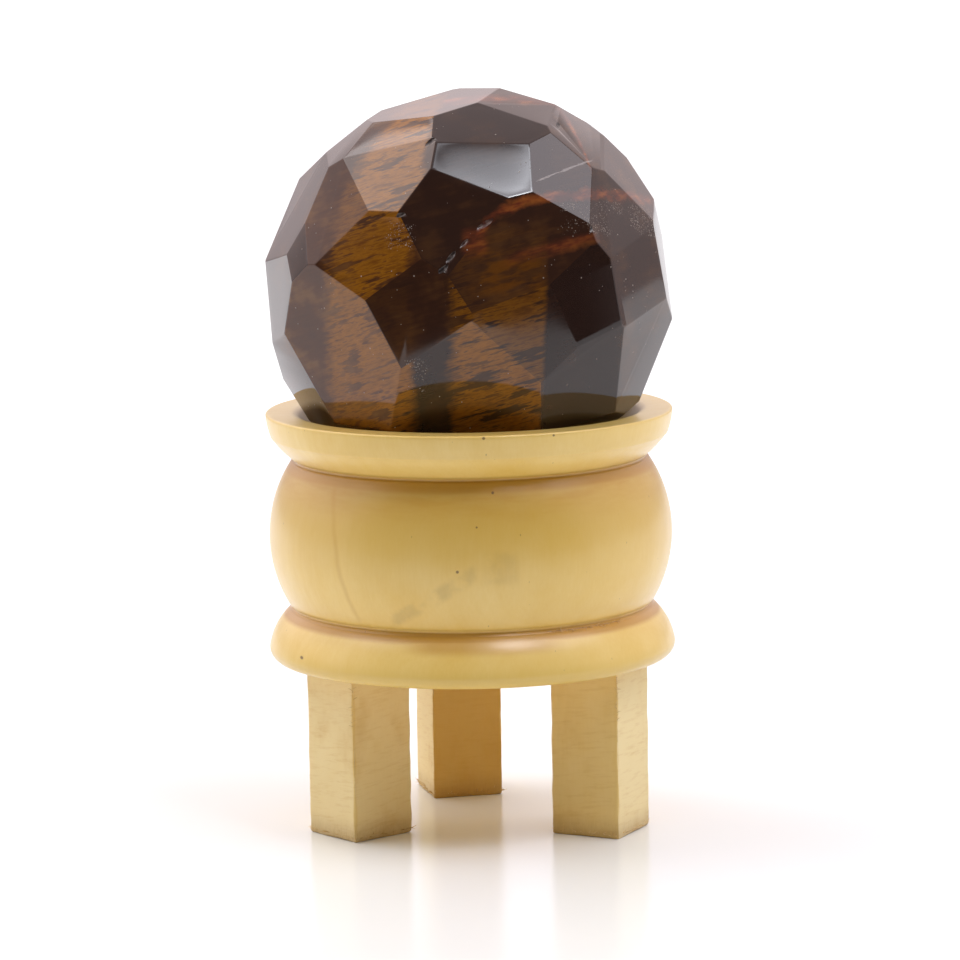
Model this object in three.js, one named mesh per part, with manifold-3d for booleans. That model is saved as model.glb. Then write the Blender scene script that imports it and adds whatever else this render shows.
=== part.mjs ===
// Decorative sphere: a hand-ground faceted stone ball resting in the dished top of a turned wooden
// stand with three sawn square feet. Millimetres, +Z up, origin on the ground under the stand's axis.
import * as THREE from 'three';
import { mergeVertices } from 'three/addons/utils/BufferGeometryUtils.js';
import Module from 'manifold-3d';

// Driving dimensions.
const FIT_GAP = 0.3; // between pieces that touch

const BALL_RADIUS = 25.8; // to the farthest corners, where its flats meet
const BALL_LIFT = 14.95; // ball's middle above the stand's top
const BALL_SHIFT = 0.15; // ball's middle off the stand's axis, along X

const FOOT_SIDE = 9.2;
const FOOT_HEIGHT = 20.9;
const FOOT_WEAR = 0.35; // taken off each edge

const BODY_HEIGHT = 30.85;
const RIM_RADIUS = 25.4;
const SHOULDER_RADIUS = 24.85; // where the rim starts to draw in
const LIP_RADIUS = 22.2; // mouth of the dish
const BELLY_BULGE = 2.8; // beyond the grooves
const BASE_RADIUS = 25.45;
const UNDERSIDE_RADIUS = 24.7;
const UPPER_GROOVE_RADIUS = 22.15;
const LOWER_GROOVE_RADIUS = 22.55;
const GROOVE_WIDTH = 0.5;
const DISH_CLEARANCE = 0.4; // round those corners
const LIP_DROP = 0.5; // rounding inside the mouth
const RIM_ROUNDING = 0.2;

// Heights of the stand's mouldings above its underside.
const BASE_WIDEST = 1.4;
const LOWER_GROOVE = 6.5;
const UPPER_GROOVE = 24.95;
const RIM_SHOULDER = 27.95;
const RIM_WIDEST = BODY_HEIGHT - RIM_ROUNDING;

const TURNING_FLATS = 72; // round the turned body

// Feet, glued on by eye: how far out each stands and where round the axis, and how far its sides
// are turned, in millimetres and degrees from +X.
const FEET = [
  { name: 'foot_left', reach: 16.2, place: 208, turn: 40 },
  { name: 'foot_right', reach: 17.7, place: 332, turn: 63 },
  { name: 'foot_back', reach: 16.1, place: 97, turn: 14 },
];

// The ball's flats, ground by hand and so uneven: turn round the upright axis from +X, tilt above
// the horizon, and distance from the ball's middle, in degrees and millimetres. The rows run down
// the front from the crown. The same flats carried through the middle close the back.
const FLATS = {
  crown: [[211, 78, 23.7], [310, 71, 24.6]],
  brow: [[199, 51, 24.8], [233, 56, 24.7], [280, 60, 24.4], [337, 49, 24.6]],
  shoulder: [[241, 41, 24.6], [278, 40, 24.2], [299, 37, 24.7], [345, 36, 24.5]],
  upper: [[190, 26, 23.6], [224, 27, 24.7], [271, 28, 24.0], [327, 23, 24.6]],
  middle: [[206, 16, 24.9], [241, 12, 24.4], [284, 18, 23.8], [354, 9, 24.5]],
  girdle: [[194, 3, 24.1], [251, -2, 24.2], [291, -5, 24.1], [299, -1, 24.3], [331, 5, 24.3]],
  lower: [[202, -24, 24.2], [227, -14, 23.1], [269, -27, 23.4], [307, -22, 24.3], [335, -15, 24.2]],
  underside: [[201, -50, 24.7], [225, -60, 23.0], [272, -61, 24.1], [319, -58, 23.3], [352, -52, 24.0]],
};

const BODY_BOTTOM = FOOT_HEIGHT + FIT_GAP;
const BALL_HEIGHT = BODY_BOTTOM + BODY_HEIGHT + BALL_LIFT;
const DEGREE = Math.PI / 180;

const manifold = await Module();
manifold.setup();

// A closed three.js geometry as a solid that can be cut.
function solidOf(geometry) {
  const bare = new THREE.BufferGeometry();
  bare.setAttribute('position', geometry.getAttribute('position'));
  bare.setIndex(geometry.index);
  const merged = mergeVertices(bare, 1e-4);
  const mesh = new manifold.Mesh({
    numProp: 3,
    vertProperties: new Float32Array(merged.attributes.position.array),
    triVerts: new Uint32Array(merged.index.array),
  });
  return new manifold.Manifold(mesh);
}

// A solid's surface as a flat-shaded three.js geometry.
function geometryOf(solid) {
  const mesh = solid.getMesh();
  const indexed = new THREE.BufferGeometry();
  indexed.setAttribute('position', new THREE.BufferAttribute(mesh.vertProperties, 3));
  indexed.setIndex(new THREE.BufferAttribute(mesh.triVerts, 1));
  const flat = indexed.toNonIndexed();
  flat.computeVertexNormals();
  return flat;
}

// The direction that lies a turn round from +X and a tilt above the horizon.
function direction(turn, tilt) {
  const level = Math.cos(tilt * DEGREE);
  const east = level * Math.cos(turn * DEGREE);
  const north = level * Math.sin(turn * DEGREE);
  return new THREE.Vector3(east, north, Math.sin(tilt * DEGREE));
}

// What grinding one flat takes off: a block whose near face lies on the flat.
function offcut(outward, distance) {
  const size = 3 * BALL_RADIUS;
  const block = new THREE.BoxGeometry(size, size, size);
  block.translate(0, 0, distance + size / 2);
  const upright = new THREE.Vector3(0, 0, 1);
  block.applyQuaternion(new THREE.Quaternion().setFromUnitVectors(upright, outward));
  return solidOf(block);
}

// The stone ball: a square block with each flat and its opposite ground on it.
function ballGeometry() {
  const side = 2.2 * BALL_RADIUS;
  let stone = solidOf(new THREE.BoxGeometry(side, side, side));
  for (const [turn, tilt, distance] of Object.values(FLATS).flat()) {
    const outward = direction(turn, tilt);
    stone = stone.subtract(offcut(outward, distance));
    stone = stone.subtract(offcut(outward.negate(), distance));
  }
  return geometryOf(stone);
}

// Points of a round stretch of a profile, up to but not with its far end. The stretch stands off
// its chord by the bulge, to the right of the way it runs.
function rounded([startR, startZ], [endR, endZ], bulge, steps) {
  const start = new THREE.Vector2(startR, startZ);
  const end = new THREE.Vector2(endR, endZ);
  const chord = end.clone().sub(start);
  const half = chord.length() / 2;
  const radius = (half * half + bulge * bulge) / (2 * bulge);
  const right = new THREE.Vector2(chord.y, -chord.x).normalize();
  const centre = start.clone().lerp(end, 0.5).addScaledVector(right, bulge - radius);
  const sweep = 2 * Math.asin(half / radius);
  return Array.from({ length: steps }, (_, i) =>
    start.clone().rotateAround(centre, (sweep * i) / steps),
  );
}

// Points down the dish, a hollow sphere round the ball, from its edge at a height to its bottom.
function dishProfile(edgeHeight, steps) {
  const radius = BALL_RADIUS + DISH_CLEARANCE;
  const middle = BODY_HEIGHT + BALL_LIFT;
  const opening = Math.acos((middle - edgeHeight) / radius);
  return Array.from({ length: steps + 1 }, (_, i) => {
    const angle = opening * (1 - i / steps);
    return new THREE.Vector2(radius * Math.sin(angle), middle - radius * Math.cos(angle));
  });
}

// The turned body's outline from the middle of its underside, up the outside and down the dish.
function bodyProfile() {
  const grooveHalf = GROOVE_WIDTH / 2;
  const lowerGroove = (side) => [LOWER_GROOVE_RADIUS, LOWER_GROOVE + side * grooveHalf];
  const upperGroove = (side) => [UPPER_GROOVE_RADIUS, UPPER_GROOVE + side * grooveHalf];
  const underside = [UNDERSIDE_RADIUS, 0];
  const baseWidest = [BASE_RADIUS, BASE_WIDEST];
  const rimShoulder = [SHOULDER_RADIUS, RIM_SHOULDER];
  const rimWidest = [RIM_RADIUS, RIM_WIDEST];
  const rimTop = [RIM_RADIUS - 1.5 * RIM_ROUNDING, BODY_HEIGHT];
  const lip = [LIP_RADIUS, BODY_HEIGHT];
  const dish = dishProfile(BODY_HEIGHT - LIP_DROP, 8);
  return [
    new THREE.Vector2(0, 0),
    ...rounded(underside, baseWidest, 0.3, 3),
    ...rounded(baseWidest, lowerGroove(-1), 0.5, 5),
    new THREE.Vector2(...lowerGroove(-1)),
    ...rounded(lowerGroove(1), upperGroove(-1), BELLY_BULGE, 14),
    new THREE.Vector2(...upperGroove(-1)),
    ...rounded(upperGroove(1), rimShoulder, 0.1, 3),
    ...rounded(rimShoulder, rimWidest, 0.1, 3),
    ...rounded(rimWidest, rimTop, 0.06, 2),
    new THREE.Vector2(...rimTop),
    ...rounded(lip, dish[0].toArray(), 0.12, 2),
    ...dish,
  ];
}

function bodyGeometry() {
  const geometry = new THREE.LatheGeometry(bodyProfile(), TURNING_FLATS);
  geometry.rotateX(90 * DEGREE); // from round +Y to round +Z
  return geometry;
}

// One sawn foot, standing on the ground, with each edge a little worn.
function footGeometry() {
  const reach = FOOT_SIDE / 2;
  const inner = reach - FOOT_WEAR;
  const outline = new THREE.Shape();
  outline.moveTo(reach, -inner);
  for (const [x, y] of [[1, 1], [-1, 1], [-1, -1], [1, -1]]) {
    const first = x * y > 0 ? [x * reach, y * inner] : [x * inner, y * reach];
    const second = x * y > 0 ? [x * inner, y * reach] : [x * reach, y * inner];
    outline.lineTo(...first);
    outline.lineTo(...second);
  }
  outline.closePath();
  const geometry = new THREE.ExtrudeGeometry(outline, {
    depth: FOOT_HEIGHT - 2 * FOOT_WEAR,
    bevelThickness: FOOT_WEAR,
    bevelSize: FOOT_WEAR,
    bevelOffset: -FOOT_WEAR,
    bevelSegments: 1,
  });
  geometry.translate(0, 0, FOOT_WEAR);
  return geometry;
}

const tigersEye = new THREE.MeshStandardMaterial({ color: 0x4a3222, roughness: 0.12 });
const turnedWood = new THREE.MeshStandardMaterial({ color: 0xe9d9a6, roughness: 0.45 });
const sawnWood = new THREE.MeshStandardMaterial({ color: 0xe2cf9a, roughness: 0.75 });

function piece(name, geometry, material) {
  const mesh = new THREE.Mesh(geometry, material);
  mesh.name = name;
  return mesh;
}

const sphereOnStand = new THREE.Group();

const ball = piece('ball', ballGeometry(), tigersEye);
ball.position.set(BALL_SHIFT, 0, BALL_HEIGHT);
sphereOnStand.add(ball);

const body = piece('stand_body', bodyGeometry(), turnedWood);
body.position.z = BODY_BOTTOM;
sphereOnStand.add(body);

for (const { name, reach, place, turn } of FEET) {
  const foot = piece(name, footGeometry(), sawnWood.clone());
  foot.position.copy(direction(place, 0)).multiplyScalar(reach);
  foot.rotation.z = turn * DEGREE;
  sphereOnStand.add(foot);
}

export default sphereOnStand;
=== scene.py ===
"""Dresses the decorative sphere: a faceted tiger's eye ball on a turned wooden stand with three feet."""

import math

import bmesh
import bpy
import numpy as np
from mathutils import Matrix, Vector


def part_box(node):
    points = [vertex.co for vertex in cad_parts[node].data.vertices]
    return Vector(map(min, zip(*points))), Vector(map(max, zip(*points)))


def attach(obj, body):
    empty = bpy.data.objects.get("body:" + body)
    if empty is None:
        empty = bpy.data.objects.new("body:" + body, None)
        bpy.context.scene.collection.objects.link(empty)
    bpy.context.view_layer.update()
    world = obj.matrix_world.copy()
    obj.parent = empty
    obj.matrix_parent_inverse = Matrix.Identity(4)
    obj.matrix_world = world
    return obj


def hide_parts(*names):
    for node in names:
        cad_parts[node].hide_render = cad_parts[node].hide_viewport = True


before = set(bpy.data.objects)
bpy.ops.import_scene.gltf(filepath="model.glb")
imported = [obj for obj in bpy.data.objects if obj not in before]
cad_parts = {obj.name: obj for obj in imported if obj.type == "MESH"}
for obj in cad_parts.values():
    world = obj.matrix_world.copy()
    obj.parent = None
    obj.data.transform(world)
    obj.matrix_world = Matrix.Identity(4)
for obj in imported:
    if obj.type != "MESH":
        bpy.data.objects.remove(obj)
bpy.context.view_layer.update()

bl_info = {
    "name": "Decorative sphere",
    "version": (1, 0, 0),
    "blender": (4, 5, 0),
    "location": "View3D > Sidebar > Sphere",
    "description": "A faceted stone ball on a turned wooden stand, with its studio",
    "category": "Object",
}

MM = 0.001
BALL_LOW, BALL_HIGH = (Vector(corner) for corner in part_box("ball"))
BALL_MIDDLE = (BALL_LOW + BALL_HIGH) / 2
BODY_LOW, BODY_HIGH = (Vector(corner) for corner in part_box("stand_body"))
BODY_MIDDLE = (BODY_LOW + BODY_HIGH) / 2


# ---------------------------------------------------------------- nodes as expressions


class Value:
    """A socket of a shader tree. Arithmetic on it adds Math nodes."""

    def __init__(self, shader, socket):
        self.shader = shader
        self.socket = socket

    def maths(self, operation, first, second=None):
        inputs = {0: first} if second is None else {0: first, 1: second}
        return self.shader.node("ShaderNodeMath", {"operation": operation}, inputs)

    def __add__(self, other):
        return self.maths("ADD", self, other)

    __radd__ = __add__

    def __sub__(self, other):
        return self.maths("SUBTRACT", self, other)

    def __rsub__(self, other):
        return self.maths("SUBTRACT", other, self)

    def __mul__(self, other):
        return self.maths("MULTIPLY", self, other)

    __rmul__ = __mul__

    def __truediv__(self, other):
        return self.maths("DIVIDE", self, other)

    def __rtruediv__(self, other):
        return self.maths("DIVIDE", other, self)

    def __pow__(self, other):
        return self.maths("POWER", self, other)

    def __abs__(self):
        return self.maths("ABSOLUTE", self)

    def exponent(self):
        return self.maths("EXPONENT", self)

    def most(self, other):
        return self.maths("MAXIMUM", self, other)

    def least(self, other):
        return self.maths("MINIMUM", self, other)

    def clamped(self):
        """Kept between 0 and 1."""
        return self.least(1.0).most(0.0)

    def rise(self, low, high):
        """0 below low and 1 above high, smooth between; low above high makes it fall."""
        inputs = {0: self, 1: low, 2: high, 3: 0.0, 4: 1.0}
        if low > high:
            inputs.update({1: high, 2: low, 3: 1.0, 4: 0.0})
        return self.shader.node("ShaderNodeMapRange", {"interpolation_type": "SMOOTHSTEP"}, inputs)

    def within(self, low, high, soft):
        """1 between low and high, fading over a soft edge."""
        return self.rise(low - soft / 2, low + soft / 2) * self.rise(high + soft / 2, high - soft / 2)


def add_node(tree, kind, settings, inputs):
    """A node of a kind with its settings made first, then the values or links of its sockets."""
    made = tree.nodes.new(kind)
    for name, setting in (settings or {}).items():
        setattr(made, name, setting)
    for name, value in (inputs or {}).items():
        if isinstance(value, Value):
            value = value.socket
        if isinstance(value, bpy.types.NodeSocket):
            tree.links.new(value, made.inputs[name])
        else:
            made.inputs[name].default_value = value
    return made


class Shader:
    """The node tree of a material or a world, written as expressions."""

    def __init__(self, owner):
        owner.use_nodes = True
        self.owner = owner
        self.tree = owner.node_tree
        self.tree.nodes.clear()

    def node(self, kind, settings=None, inputs=None, output=0):
        """Adds a node and gives one of its outputs as a value."""
        made = add_node(self.tree, kind, settings, inputs)
        return Value(self, made.outputs[output]) if len(made.outputs) else made

    def coordinates(self, middle, turn=(0.0, 0.0, 0.0)):
        """Object coordinates in millimetres from a middle point, turned."""
        place = self.node("ShaderNodeTexCoord", output="Object")
        centred = self.vector_maths("SUBTRACT", place, tuple(middle))
        inputs = {"Vector": centred, "Rotation": turn, "Scale": (1000.0, 1000.0, 1000.0)}
        return self.node("ShaderNodeMapping", {"vector_type": "POINT"}, inputs)

    def vector_maths(self, operation, first, second=None, output=0):
        inputs = {0: first} if second is None else {0: first, 1: second}
        return self.node("ShaderNodeVectorMath", {"operation": operation}, inputs, output)

    def stretched(self, vector, scale):
        return self.vector_maths("MULTIPLY", vector, scale)

    def turned(self, vector, turn):
        return self.node("ShaderNodeMapping", {"vector_type": "POINT"}, {"Vector": vector, "Rotation": turn})

    def parts(self, vector):
        split = self.node("ShaderNodeSeparateXYZ", None, {0: vector})
        return [Value(self, output) for output in split.socket.node.outputs]

    def noise(self, vector, scale, detail, roughness):
        inputs = {"Vector": vector, "Scale": scale, "Detail": detail, "Roughness": roughness}
        return self.node("ShaderNodeTexNoise", None, inputs)

    def grain(self, vector, scale, detail, roughness):
        """Noise with its own scale along each axis."""
        return self.noise(self.stretched(vector, scale), 1.0, detail, roughness)

    def specks(self, vector, scale, size, share):
        """Small round specks, in a share of the cells of an uneven lattice."""
        inputs = {"Vector": vector, "Scale": scale, "Randomness": 1.0}
        near = self.node("ShaderNodeTexVoronoi", {"feature": "F1"}, inputs, "Distance")
        colour = Value(self, near.socket.node.outputs["Color"])
        chosen = self.parts(colour)[0].rise(1.0 - share, 1.0 - share + 0.02)
        return near.rise(size, size * 0.5) * chosen

    def mix(self, factor, first, second):
        """Colours mixed by a factor."""
        inputs = {0: factor, 6: self.colour(first), 7: self.colour(second)}
        return self.node("ShaderNodeMix", {"data_type": "RGBA"}, inputs, 2)

    @staticmethod
    def colour(value):
        return value if isinstance(value, Value) else (*tuple(value)[:3], 1.0)

    def bump(self, height, distance, strength=1.0):
        inputs = {"Height": height, "Distance": distance, "Strength": strength}
        return self.node("ShaderNodeBump", None, inputs)

    def attribute(self, name, output):
        return self.node("ShaderNodeAttribute", {"attribute_name": name}, None, output)

    def finish(self, **inputs):
        """Joins a Principled surface with these sockets to the output and gives the material."""
        named = {name.replace("_", " "): value for name, value in inputs.items()}
        if "Base Color" in named:
            named["Base Color"] = self.colour(named["Base Color"])
        surface = self.node("ShaderNodeBsdfPrincipled", None, named)
        self.node("ShaderNodeOutputMaterial", None, {"Surface": surface})
        return self.owner


def new_shader(name):
    return Shader(bpy.data.materials.new(name))


# ---------------------------------------------------------------- settings


def colour_setting(name, default, description):
    return bpy.props.FloatVectorProperty(
        name=name, description=description, default=default, size=3, min=0.0, max=1.0, subtype="COLOR"
    )


def length_setting(name, default, description):
    return bpy.props.FloatProperty(
        name=name, description=description, default=default, min=0.0, unit="LENGTH", precision=5
    )


def angle_setting(name, degrees, description):
    return bpy.props.FloatProperty(
        name=name, description=description, default=math.radians(degrees), subtype="ANGLE"
    )


class StoneSettings(bpy.types.PropertyGroup):
    """Sizes and colours of the stone ball."""

    edge: length_setting("Edge width", 0.11 * MM, "Width of the polished edge between two flats")
    lean: angle_setting("Lean", 2.2, "How far a flat's surface turns over next to its edges")
    lean_reach: length_setting("Lean reach", 1.0 * MM, "How far in from an edge the lean dies away")
    # Dark, brown, amber and gold are painted light and shade: the unlit, half-lit and lit tones of one stone,
    # which each flat takes by its painted sheen.
    dark: colour_setting("Dark stone", (0.019, 0.0095, 0.0075), "Colour of the unlit bands")
    brown: colour_setting("Brown stone", (0.092, 0.029, 0.009), "Colour of the half-lit bands")
    umber: colour_setting("Umber", (0.150, 0.062, 0.016), "Colour of warm clouds in the half-lit bands")
    amber: colour_setting("Amber", (0.135, 0.044, 0.003), "Deep colour of the lit bands")
    gold: colour_setting("Gold", (0.36, 0.132, 0.007), "Bright colour of the lit bands")
    rust: colour_setting("Rust", (0.165, 0.034, 0.013), "Deep colour of the iron streaks")
    orange: colour_setting("Orange", (0.30, 0.085, 0.017), "Bright colour of the iron streaks")


class WoodSettings(bpy.types.PropertyGroup):
    """Sizes and colours of the wooden stand."""

    rounds: bpy.props.IntProperty(
        name="Rounds", description="Steps round the turned body", default=216, min=12
    )
    tool_marks: length_setting("Tool marks", 0.012 * MM, "Depth of the rings that the chisel left")
    pale: colour_setting("Pale wood", (0.92, 0.645, 0.20), "Colour of the wood between the figure")
    deep: colour_setting("Deep wood", (0.83, 0.52, 0.085), "Colour of the wood's darker figure")
    # The stain colour also paints the shade in and below the grooves.
    stain_and_shade: colour_setting("Stain", (0.58, 0.275, 0.015), "Colour of the stain in the grooves")
    fibre_spacing: length_setting("Fibre spacing", 0.22 * MM, "From one torn fibre to the next")
    fibre_length: length_setting("Fibre length", 0.9 * MM, "Length of a torn fibre")
    fibre_width: length_setting("Fibre width", 0.11 * MM, "Width of a torn fibre at its root")


class StudioSettings(bpy.types.PropertyGroup):
    """The camera, the lights and the floor."""

    distance: length_setting("Camera distance", 550 * MM, "From the stand's axis to the camera, level")
    height: length_setting("Camera height", 125 * MM, "Height of the camera above the floor")
    pitch: angle_setting("Pitch", 8.48, "How far the camera looks down")
    roll: angle_setting("Roll", -0.92, "How far the camera is rolled")
    lens: bpy.props.FloatProperty(
        name="Lens", description="Focal length", default=166.6, subtype="DISTANCE_CAMERA"
    )
    tent: bpy.props.FloatProperty(
        name="Tent", description="Brightness of the white tent round the object", default=1.0, min=0.0
    )
    floor: colour_setting("Floor", (0.87, 0.88, 0.895), "Colour of the floor")
    apron: length_setting("Apron", 190 * MM, "How far the floor reaches towards the camera")


# ---------------------------------------------------------------- making pieces


def placed(name, data):
    """A new object at the scene's origin."""
    made = bpy.data.objects.new(name, data)
    bpy.context.scene.collection.objects.link(made)
    return made


def mesh_from(form, name, material=None):
    """A mesh from a form, which is then given up."""
    mesh = bpy.data.meshes.new(name)
    form.to_mesh(mesh)
    form.free()
    mesh.materials.clear()
    if material:
        mesh.materials.append(material)
    return mesh


def finished_mesh(holder):
    """An object's mesh with its modifiers worked in; they are then taken off it."""
    graph = bpy.context.evaluated_depsgraph_get()
    mesh = bpy.data.meshes.new_from_object(holder.evaluated_get(graph), depsgraph=graph)
    holder.modifiers.clear()
    return mesh


def stands_for(piece, slot, *nodes):
    """Fixes the piece to the root body and, where nodes are given, shows it in their place."""
    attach(piece, "root")
    if nodes:
        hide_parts(*nodes)


def merged_copy(node_name):
    """A CAD node's mesh with its loose triangles joined and each flat made one face."""
    form = bmesh.new()
    form.from_mesh(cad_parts[node_name].data)
    bmesh.ops.remove_doubles(form, verts=form.verts, dist=2e-3 * MM)
    bmesh.ops.dissolve_limit(form, angle_limit=math.radians(0.25), verts=form.verts, edges=form.edges)
    return form


def direction(turn, tilt):
    """The direction a turn round from +X and a tilt above the horizon, in degrees."""
    turn, tilt = math.radians(turn), math.radians(tilt)
    level = math.cos(tilt)
    return Vector((level * math.cos(turn), level * math.sin(turn), math.sin(tilt)))


# ---------------------------------------------------------------- the stone ball

# Painted sheen: how the stone's silk catches the light on each flat, painted into its colour by the flat's
# turn and tilt:
# how brightly the left band is lit, how brightly the right band is lit, and how brown the rest is, from 0 to
# 1.
PAINTED_SHEEN = {
    (211, 78): (0.5, 0.1, 0.3), (310, 71): (0.2, 0.1, 0.3), (199, 51): (0.5, 0.2, 0.3),
    (233, 56): (1.0, 0.3, 0.5), (280, 60): (0.1, 0.0, 0.1), (337, 49): (0.1, 0.0, 0.3),
    (241, 41): (0.95, 0.3, 0.6), (278, 40): (0.0, 0.0, 0.1), (299, 37): (0.0, 0.0, 0.1),
    (345, 36): (0.0, 0.0, 0.3), (190, 26): (0.2, 0.1, 0.3), (224, 27): (0.45, 0.1, 0.75),
    (271, 28): (0.0, 0.0, 0.16), (327, 23): (0.0, 0.0, 0.2), (206, 16): (0.2, 0.0, 0.25),
    (241, 12): (0.8, 0.2, 0.6), (284, 18): (0.0, 0.12, 0.25), (354, 9): (0.0, 0.0, 0.3),
    (194, 3): (0.2, 0.0, 0.3), (251, -2): (0.06, 0.55, 0.3), (291, -5): (0.1, 0.5, 0.1),
    (299, -1): (0.0, 0.0, 0.05), (331, 5): (0.0, 0.0, 0.2), (202, -24): (0.3, 0.0, 0.4),
    (227, -14): (0.85, 0.2, 1.0), (269, -27): (0.9, 0.85, 0.15), (307, -22): (0.1, 0.2, 0.1),
    (335, -15): (0.0, 0.0, 0.25),
}
# Painted sheen for the flats that the table doesn't list.
HIDDEN_PAINTED_SHEEN = (0.55, 0.4, 0.45)


def painted_sheen_of(normal):
    """The painted sheen of the flat that faces this way; it changes slowly over the flats not listed."""
    nearest = max(PAINTED_SHEEN, key=lambda angles: direction(*angles).dot(normal))
    if direction(*nearest).dot(normal) > math.cos(math.radians(4)):
        return PAINTED_SHEEN[nearest]
    swing = 0.5 + 0.5 * math.sin(5.0 * normal.x + 3.0 * normal.z)
    return tuple(level * (0.5 + swing) for level in HIDDEN_PAINTED_SHEEN)


# The smallest flat that swells, the steps along its sides, and its rings, as shares of the way in.
SMALLEST_FLAT = 4 * MM * MM
SIDE_STEP = 0.7 * MM
RING_SHARES = (0.025, 0.055, 0.09, 0.14, 0.2, 0.28, 0.37, 0.47, 0.58, 0.7, 0.82, 0.92)


def walls_round(flat):
    """Upright walls on a flat's sides, each given by a point on it and its way in."""
    corners = [loop.vert.co for loop in flat.loops]
    walls = []
    for start, end in zip(corners, corners[1:] + corners[:1]):
        if (end - start).length > 0.3 * MM:
            inward = flat.normal.cross(end - start).normalized()
            if not any(inward.dot(other) > 0.9995 for _, other in walls):
                walls.append((start.copy(), inward))
    return walls


def raised(point, up, walls, lean, reach):
    """Where a point of a flat rises to: steeply next to the walls and evenly away from them."""
    blend = 0.9 * MM
    gaps = [max(0.0, (point - base).dot(inward)) for base, inward in walls]
    gap = -blend * math.log(sum(math.exp(-each / blend) for each in gaps))
    return point + up * lean * reach * (1 - math.exp(-max(gap, 0.0) / reach))


def pillowed(form, lean, reach):
    """Swells each flat a little, so that it turns over next to its edges as hand grinding leaves it."""
    flats = [face for face in form.faces if face.calc_area() > SMALLEST_FLAT]
    long_edges = [edge for edge in form.edges if edge.calc_length() > 1.2 * MM]
    for cuts in range(1, 24):
        same = [edge for edge in long_edges if round(edge.calc_length() / SIDE_STEP) - 1 == cuts]
        if same:
            bmesh.ops.subdivide_edges(form, edges=same, cuts=cuts)
    # This face layer holds each flat's painted sheen; the new faces keep it.
    silk_sheen = form.faces.layers.float_vector["silk_sheen"]
    for flat in flats:
        corners = [loop.vert for loop in flat.loops]
        centre, up, tone = flat.calc_center_median_weighted(), flat.normal.copy(), flat[silk_sheen].copy()
        walls = walls_round(flat)
        rings = [corners]
        for share in RING_SHARES:
            points = [raised(vert.co.lerp(centre, share), up, walls, lean, reach) for vert in corners]
            rings.append([form.verts.new(point) for point in points])
        top = form.verts.new(raised(centre, up, walls, lean, reach))
        form.faces.remove(flat)
        sides = [(i, (i + 1) % len(corners)) for i in range(len(corners))]
        made = []
        for outer, inner in zip(rings, rings[1:]):
            made += [form.faces.new((outer[i], outer[j], inner[j], inner[i])) for i, j in sides]
        made += [form.faces.new((rings[-1][i], rings[-1][j], top)) for i, j in sides]
        for face in made:
            face[silk_sheen] = tone


# Colours of the stone's small marks.
VEIN = (0.42, 0.36, 0.34)
POLISHING_DUST = (0.40, 0.33, 0.28)
FRESH_CHIP = (0.26, 0.20, 0.17)


class StoneGrain:
    """Where a point of the stone is, in millimetres from the ball's middle, and its uneven grain."""

    def __init__(self, shader):
        self.shader = shader
        self.place = shader.coordinates(BALL_MIDDLE, (math.radians(8.5), 0.0, 0.0))
        self.across, self.depth, self.up = shader.parts(self.place)
        # Fibres run across the bands, rising a little to the right.
        self.along = shader.turned(self.place, (0.0, math.radians(15.0), 0.0))
        self.fibre = shader.grain(self.along, (0.17, 0.20, 1.25), 3.0, 0.55)
        self.fine = shader.grain(self.along, (0.42, 0.45, 3.3), 3.0, 0.62)
        self.coarse = shader.grain(self.along, (0.09, 0.12, 0.36), 2.0, 0.5)
        self.torn = shader.grain(self.along, (0.22, 0.30, 0.85), 3.0, 0.6)
        self.cloud = shader.noise(self.place, 0.17, 3.0, 0.6)


def lit_bands(grain, left_sheen, right_sheen):
    """How much a point lies in one of the two lit bands, scaled by its flat's painted sheen. The left one
    leans in over the crown.
    """
    across, up = grain.across, grain.up
    drift = grain.shader.grain(grain.place, (0.5, 0.5, 0.10), 2.0, 0.5)
    over = up.most(0.0)
    over = over * over
    ragged = (grain.fibre - 0.5) * 2.6 + (grain.fine - 0.5) * 2.2 + (drift - 0.5) * 2.0
    left_start = (across - 0.019 * over + 17.0 + ragged).rise(-0.9, 1.1)
    left_end = (-6.9 + 0.008 * over - across + ragged * 0.8).rise(-0.7, 0.7)
    right_start = (across + 2.2 + ragged * 0.8).rise(-0.8, 0.8)
    right_end = (9.4 - across + ragged * 0.25 + 0.05 * up).rise(-0.35, 0.35)
    below = (5.5 - up + (grain.cloud - 0.5) * 9.0).rise(-1.5, 1.5)
    return (left_start * left_end * left_sheen).most(right_start * right_end * right_sheen * below)


def sheen_colour(stone, grain, left_sheen, right_sheen, brown_sheen):
    """Painted sheen: gold silk where the bands are painted lit, and near-black to umber stone between,
    browner where the flat's painted half-light is stronger.
    """
    shader, fibre, fine, coarse, cloud = grain.shader, grain.fibre, grain.fine, grain.coarse, grain.cloud
    broad = (fibre + 0.30 * (coarse - 0.5)).rise(0.54, 0.60)
    thin = (fine + 0.35 * (coarse - 0.5)).rise(0.53, 0.64)
    shade = (broad * 0.93).most(thin * 0.72)
    glint = (fine.rise(0.30, 0.62) * 0.75 + coarse.rise(0.35, 0.65) * 0.35).least(1.0)
    mellow = (cloud - 0.5) * 1.6
    body = (brown_sheen * (0.35 + 1.1 * cloud + 0.5 * (fine - 0.5))).clamped()
    half_lit = shader.mix(body, stone.dark, stone.brown)
    streaked = cloud + 0.5 * (fibre - 0.5)
    half_lit = shader.mix((streaked.rise(0.46, 0.74) * body * 1.1).least(1.0), half_lit, stone.umber)
    tone = shader.mix((glint - mellow * 0.35).clamped(), stone.amber, stone.gold)
    lit = lit_bands(grain, left_sheen, right_sheen)
    return shader.mix((lit * (1.0 - shade)).least(1.0), half_lit, tone)


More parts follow.
